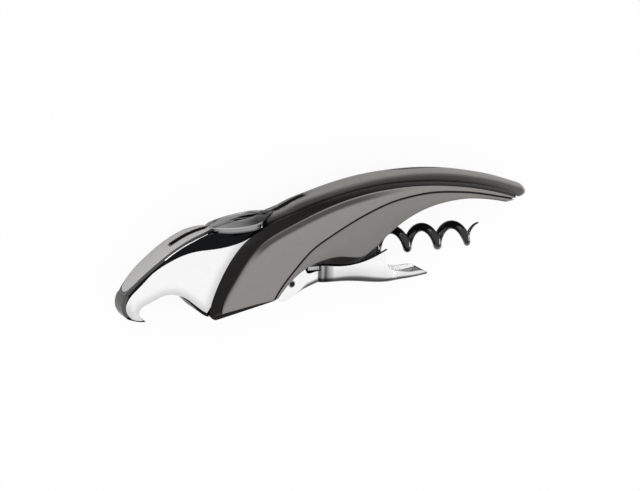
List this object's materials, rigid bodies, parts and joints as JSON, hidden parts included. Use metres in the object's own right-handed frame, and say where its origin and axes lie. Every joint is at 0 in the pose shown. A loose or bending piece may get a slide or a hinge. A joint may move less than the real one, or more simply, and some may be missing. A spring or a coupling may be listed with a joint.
{
  "type": "lever corkscrew",
  "caption": "Folding bird-shaped lever corkscrew with a hinged worm, jointed lever, foil knife in the spine and cap-lifting beak.",
  "frame": {"origin": "where the worm's hinge axis meets the flat side that the tool rests on", "axes": "+X along the folded worm towards the tail, +Y from belly to spine, +Z across the thickness, up off the surface"},
  "size_m": [0.1354, 0.0407, 0.0172],
  "materials": {
    "satin_panel": "satin warm grey gunmetal plating",
    "gloss_flank": "gloss brown-black lacquer",
    "spine_satin": "satin grey gunmetal plating",
    "gloss_black": "gloss black",
    "mirror_chrome": "mirror chrome",
    "lever_chrome": "bright chrome, lightly brushed",
    "dark_chrome": "black chrome with bright rim",
    "beak_satin": "satin nickel",
    "nose_steel": "dark satin nickel",
    "frame_steel": "dark stamped steel",
    "blade_steel": "ground stainless steel",
    "spring_steel": "spring steel",
    "pin_steel": "turned steel",
    "worm_black": "black non-stick coating"
  },
  "bodies": {
    "handle": {"spine_spacer": "frame_steel", "liner_left": "frame_steel", "liner_right": "frame_steel", "handle_shell_left": "gloss_flank", "handle_shell_right": "gloss_flank", "side_panel_left": "satin_panel", "side_panel_right": "satin_panel", "lower_feather_left": "satin_panel", "lower_feather_right": "satin_panel", "spine_cap": "spine_satin", "spine_inlay": "gloss_black", "head_core": "gloss_black", "cheek_left": "mirror_chrome", "cheek_right": "mirror_chrome", "beak_plate": "beak_satin", "cap_lifter": "nose_steel", "thumb_rest_left": "dark_chrome", "thumb_rest_right": "dark_chrome", "blade_pin": "pin_steel", "blade_spring": "spring_steel", "worm_pin": "pin_steel", "lever_pin": "pin_steel", "lever_spring": "spring_steel", "frame_rivets": "frame_steel", "head_pegs": "frame_steel"},
    "foil_knife": {"foil_blade": "blade_steel"},
    "worm_screw": {"worm": "worm_black", "worm_hub": "worm_black"},
    "link": {"lever_link": "lever_chrome", "joint_pin": "pin_steel"},
    "arm": {"lever_arm": "lever_chrome"}
  },
  "joints": [
    {"name": "lever_hinge", "type": "hinge", "parent": "handle", "child": "link", "pos_m": [-0.0114, -0.0098, 0.0086], "axis": [0, 0, -1], "range_deg": [0, 112]},
    {"name": "worm_hinge", "type": "hinge", "parent": "handle", "child": "worm_screw", "pos_m": [0, 0, 0.0086], "axis": [0, 0, -1], "range_deg": [0, 84]},
    {"name": "arm_hinge", "type": "hinge", "parent": "link", "child": "arm", "pos_m": [0.0002, -0.0075, 0.0086], "axis": [0, 0, -1], "range_deg": [0, 45]},
    {"name": "knife_hinge", "type": "hinge", "parent": "handle", "child": "foil_knife", "pos_m": [-0.0457, 0.0029, 0.0086], "axis": [0, 0, 1], "range_deg": [0, 90]}
  ],
  "couplings": [
    {"joint": "worm_hinge", "follows": "lever_hinge", "ratio": 0.75}
  ]
}
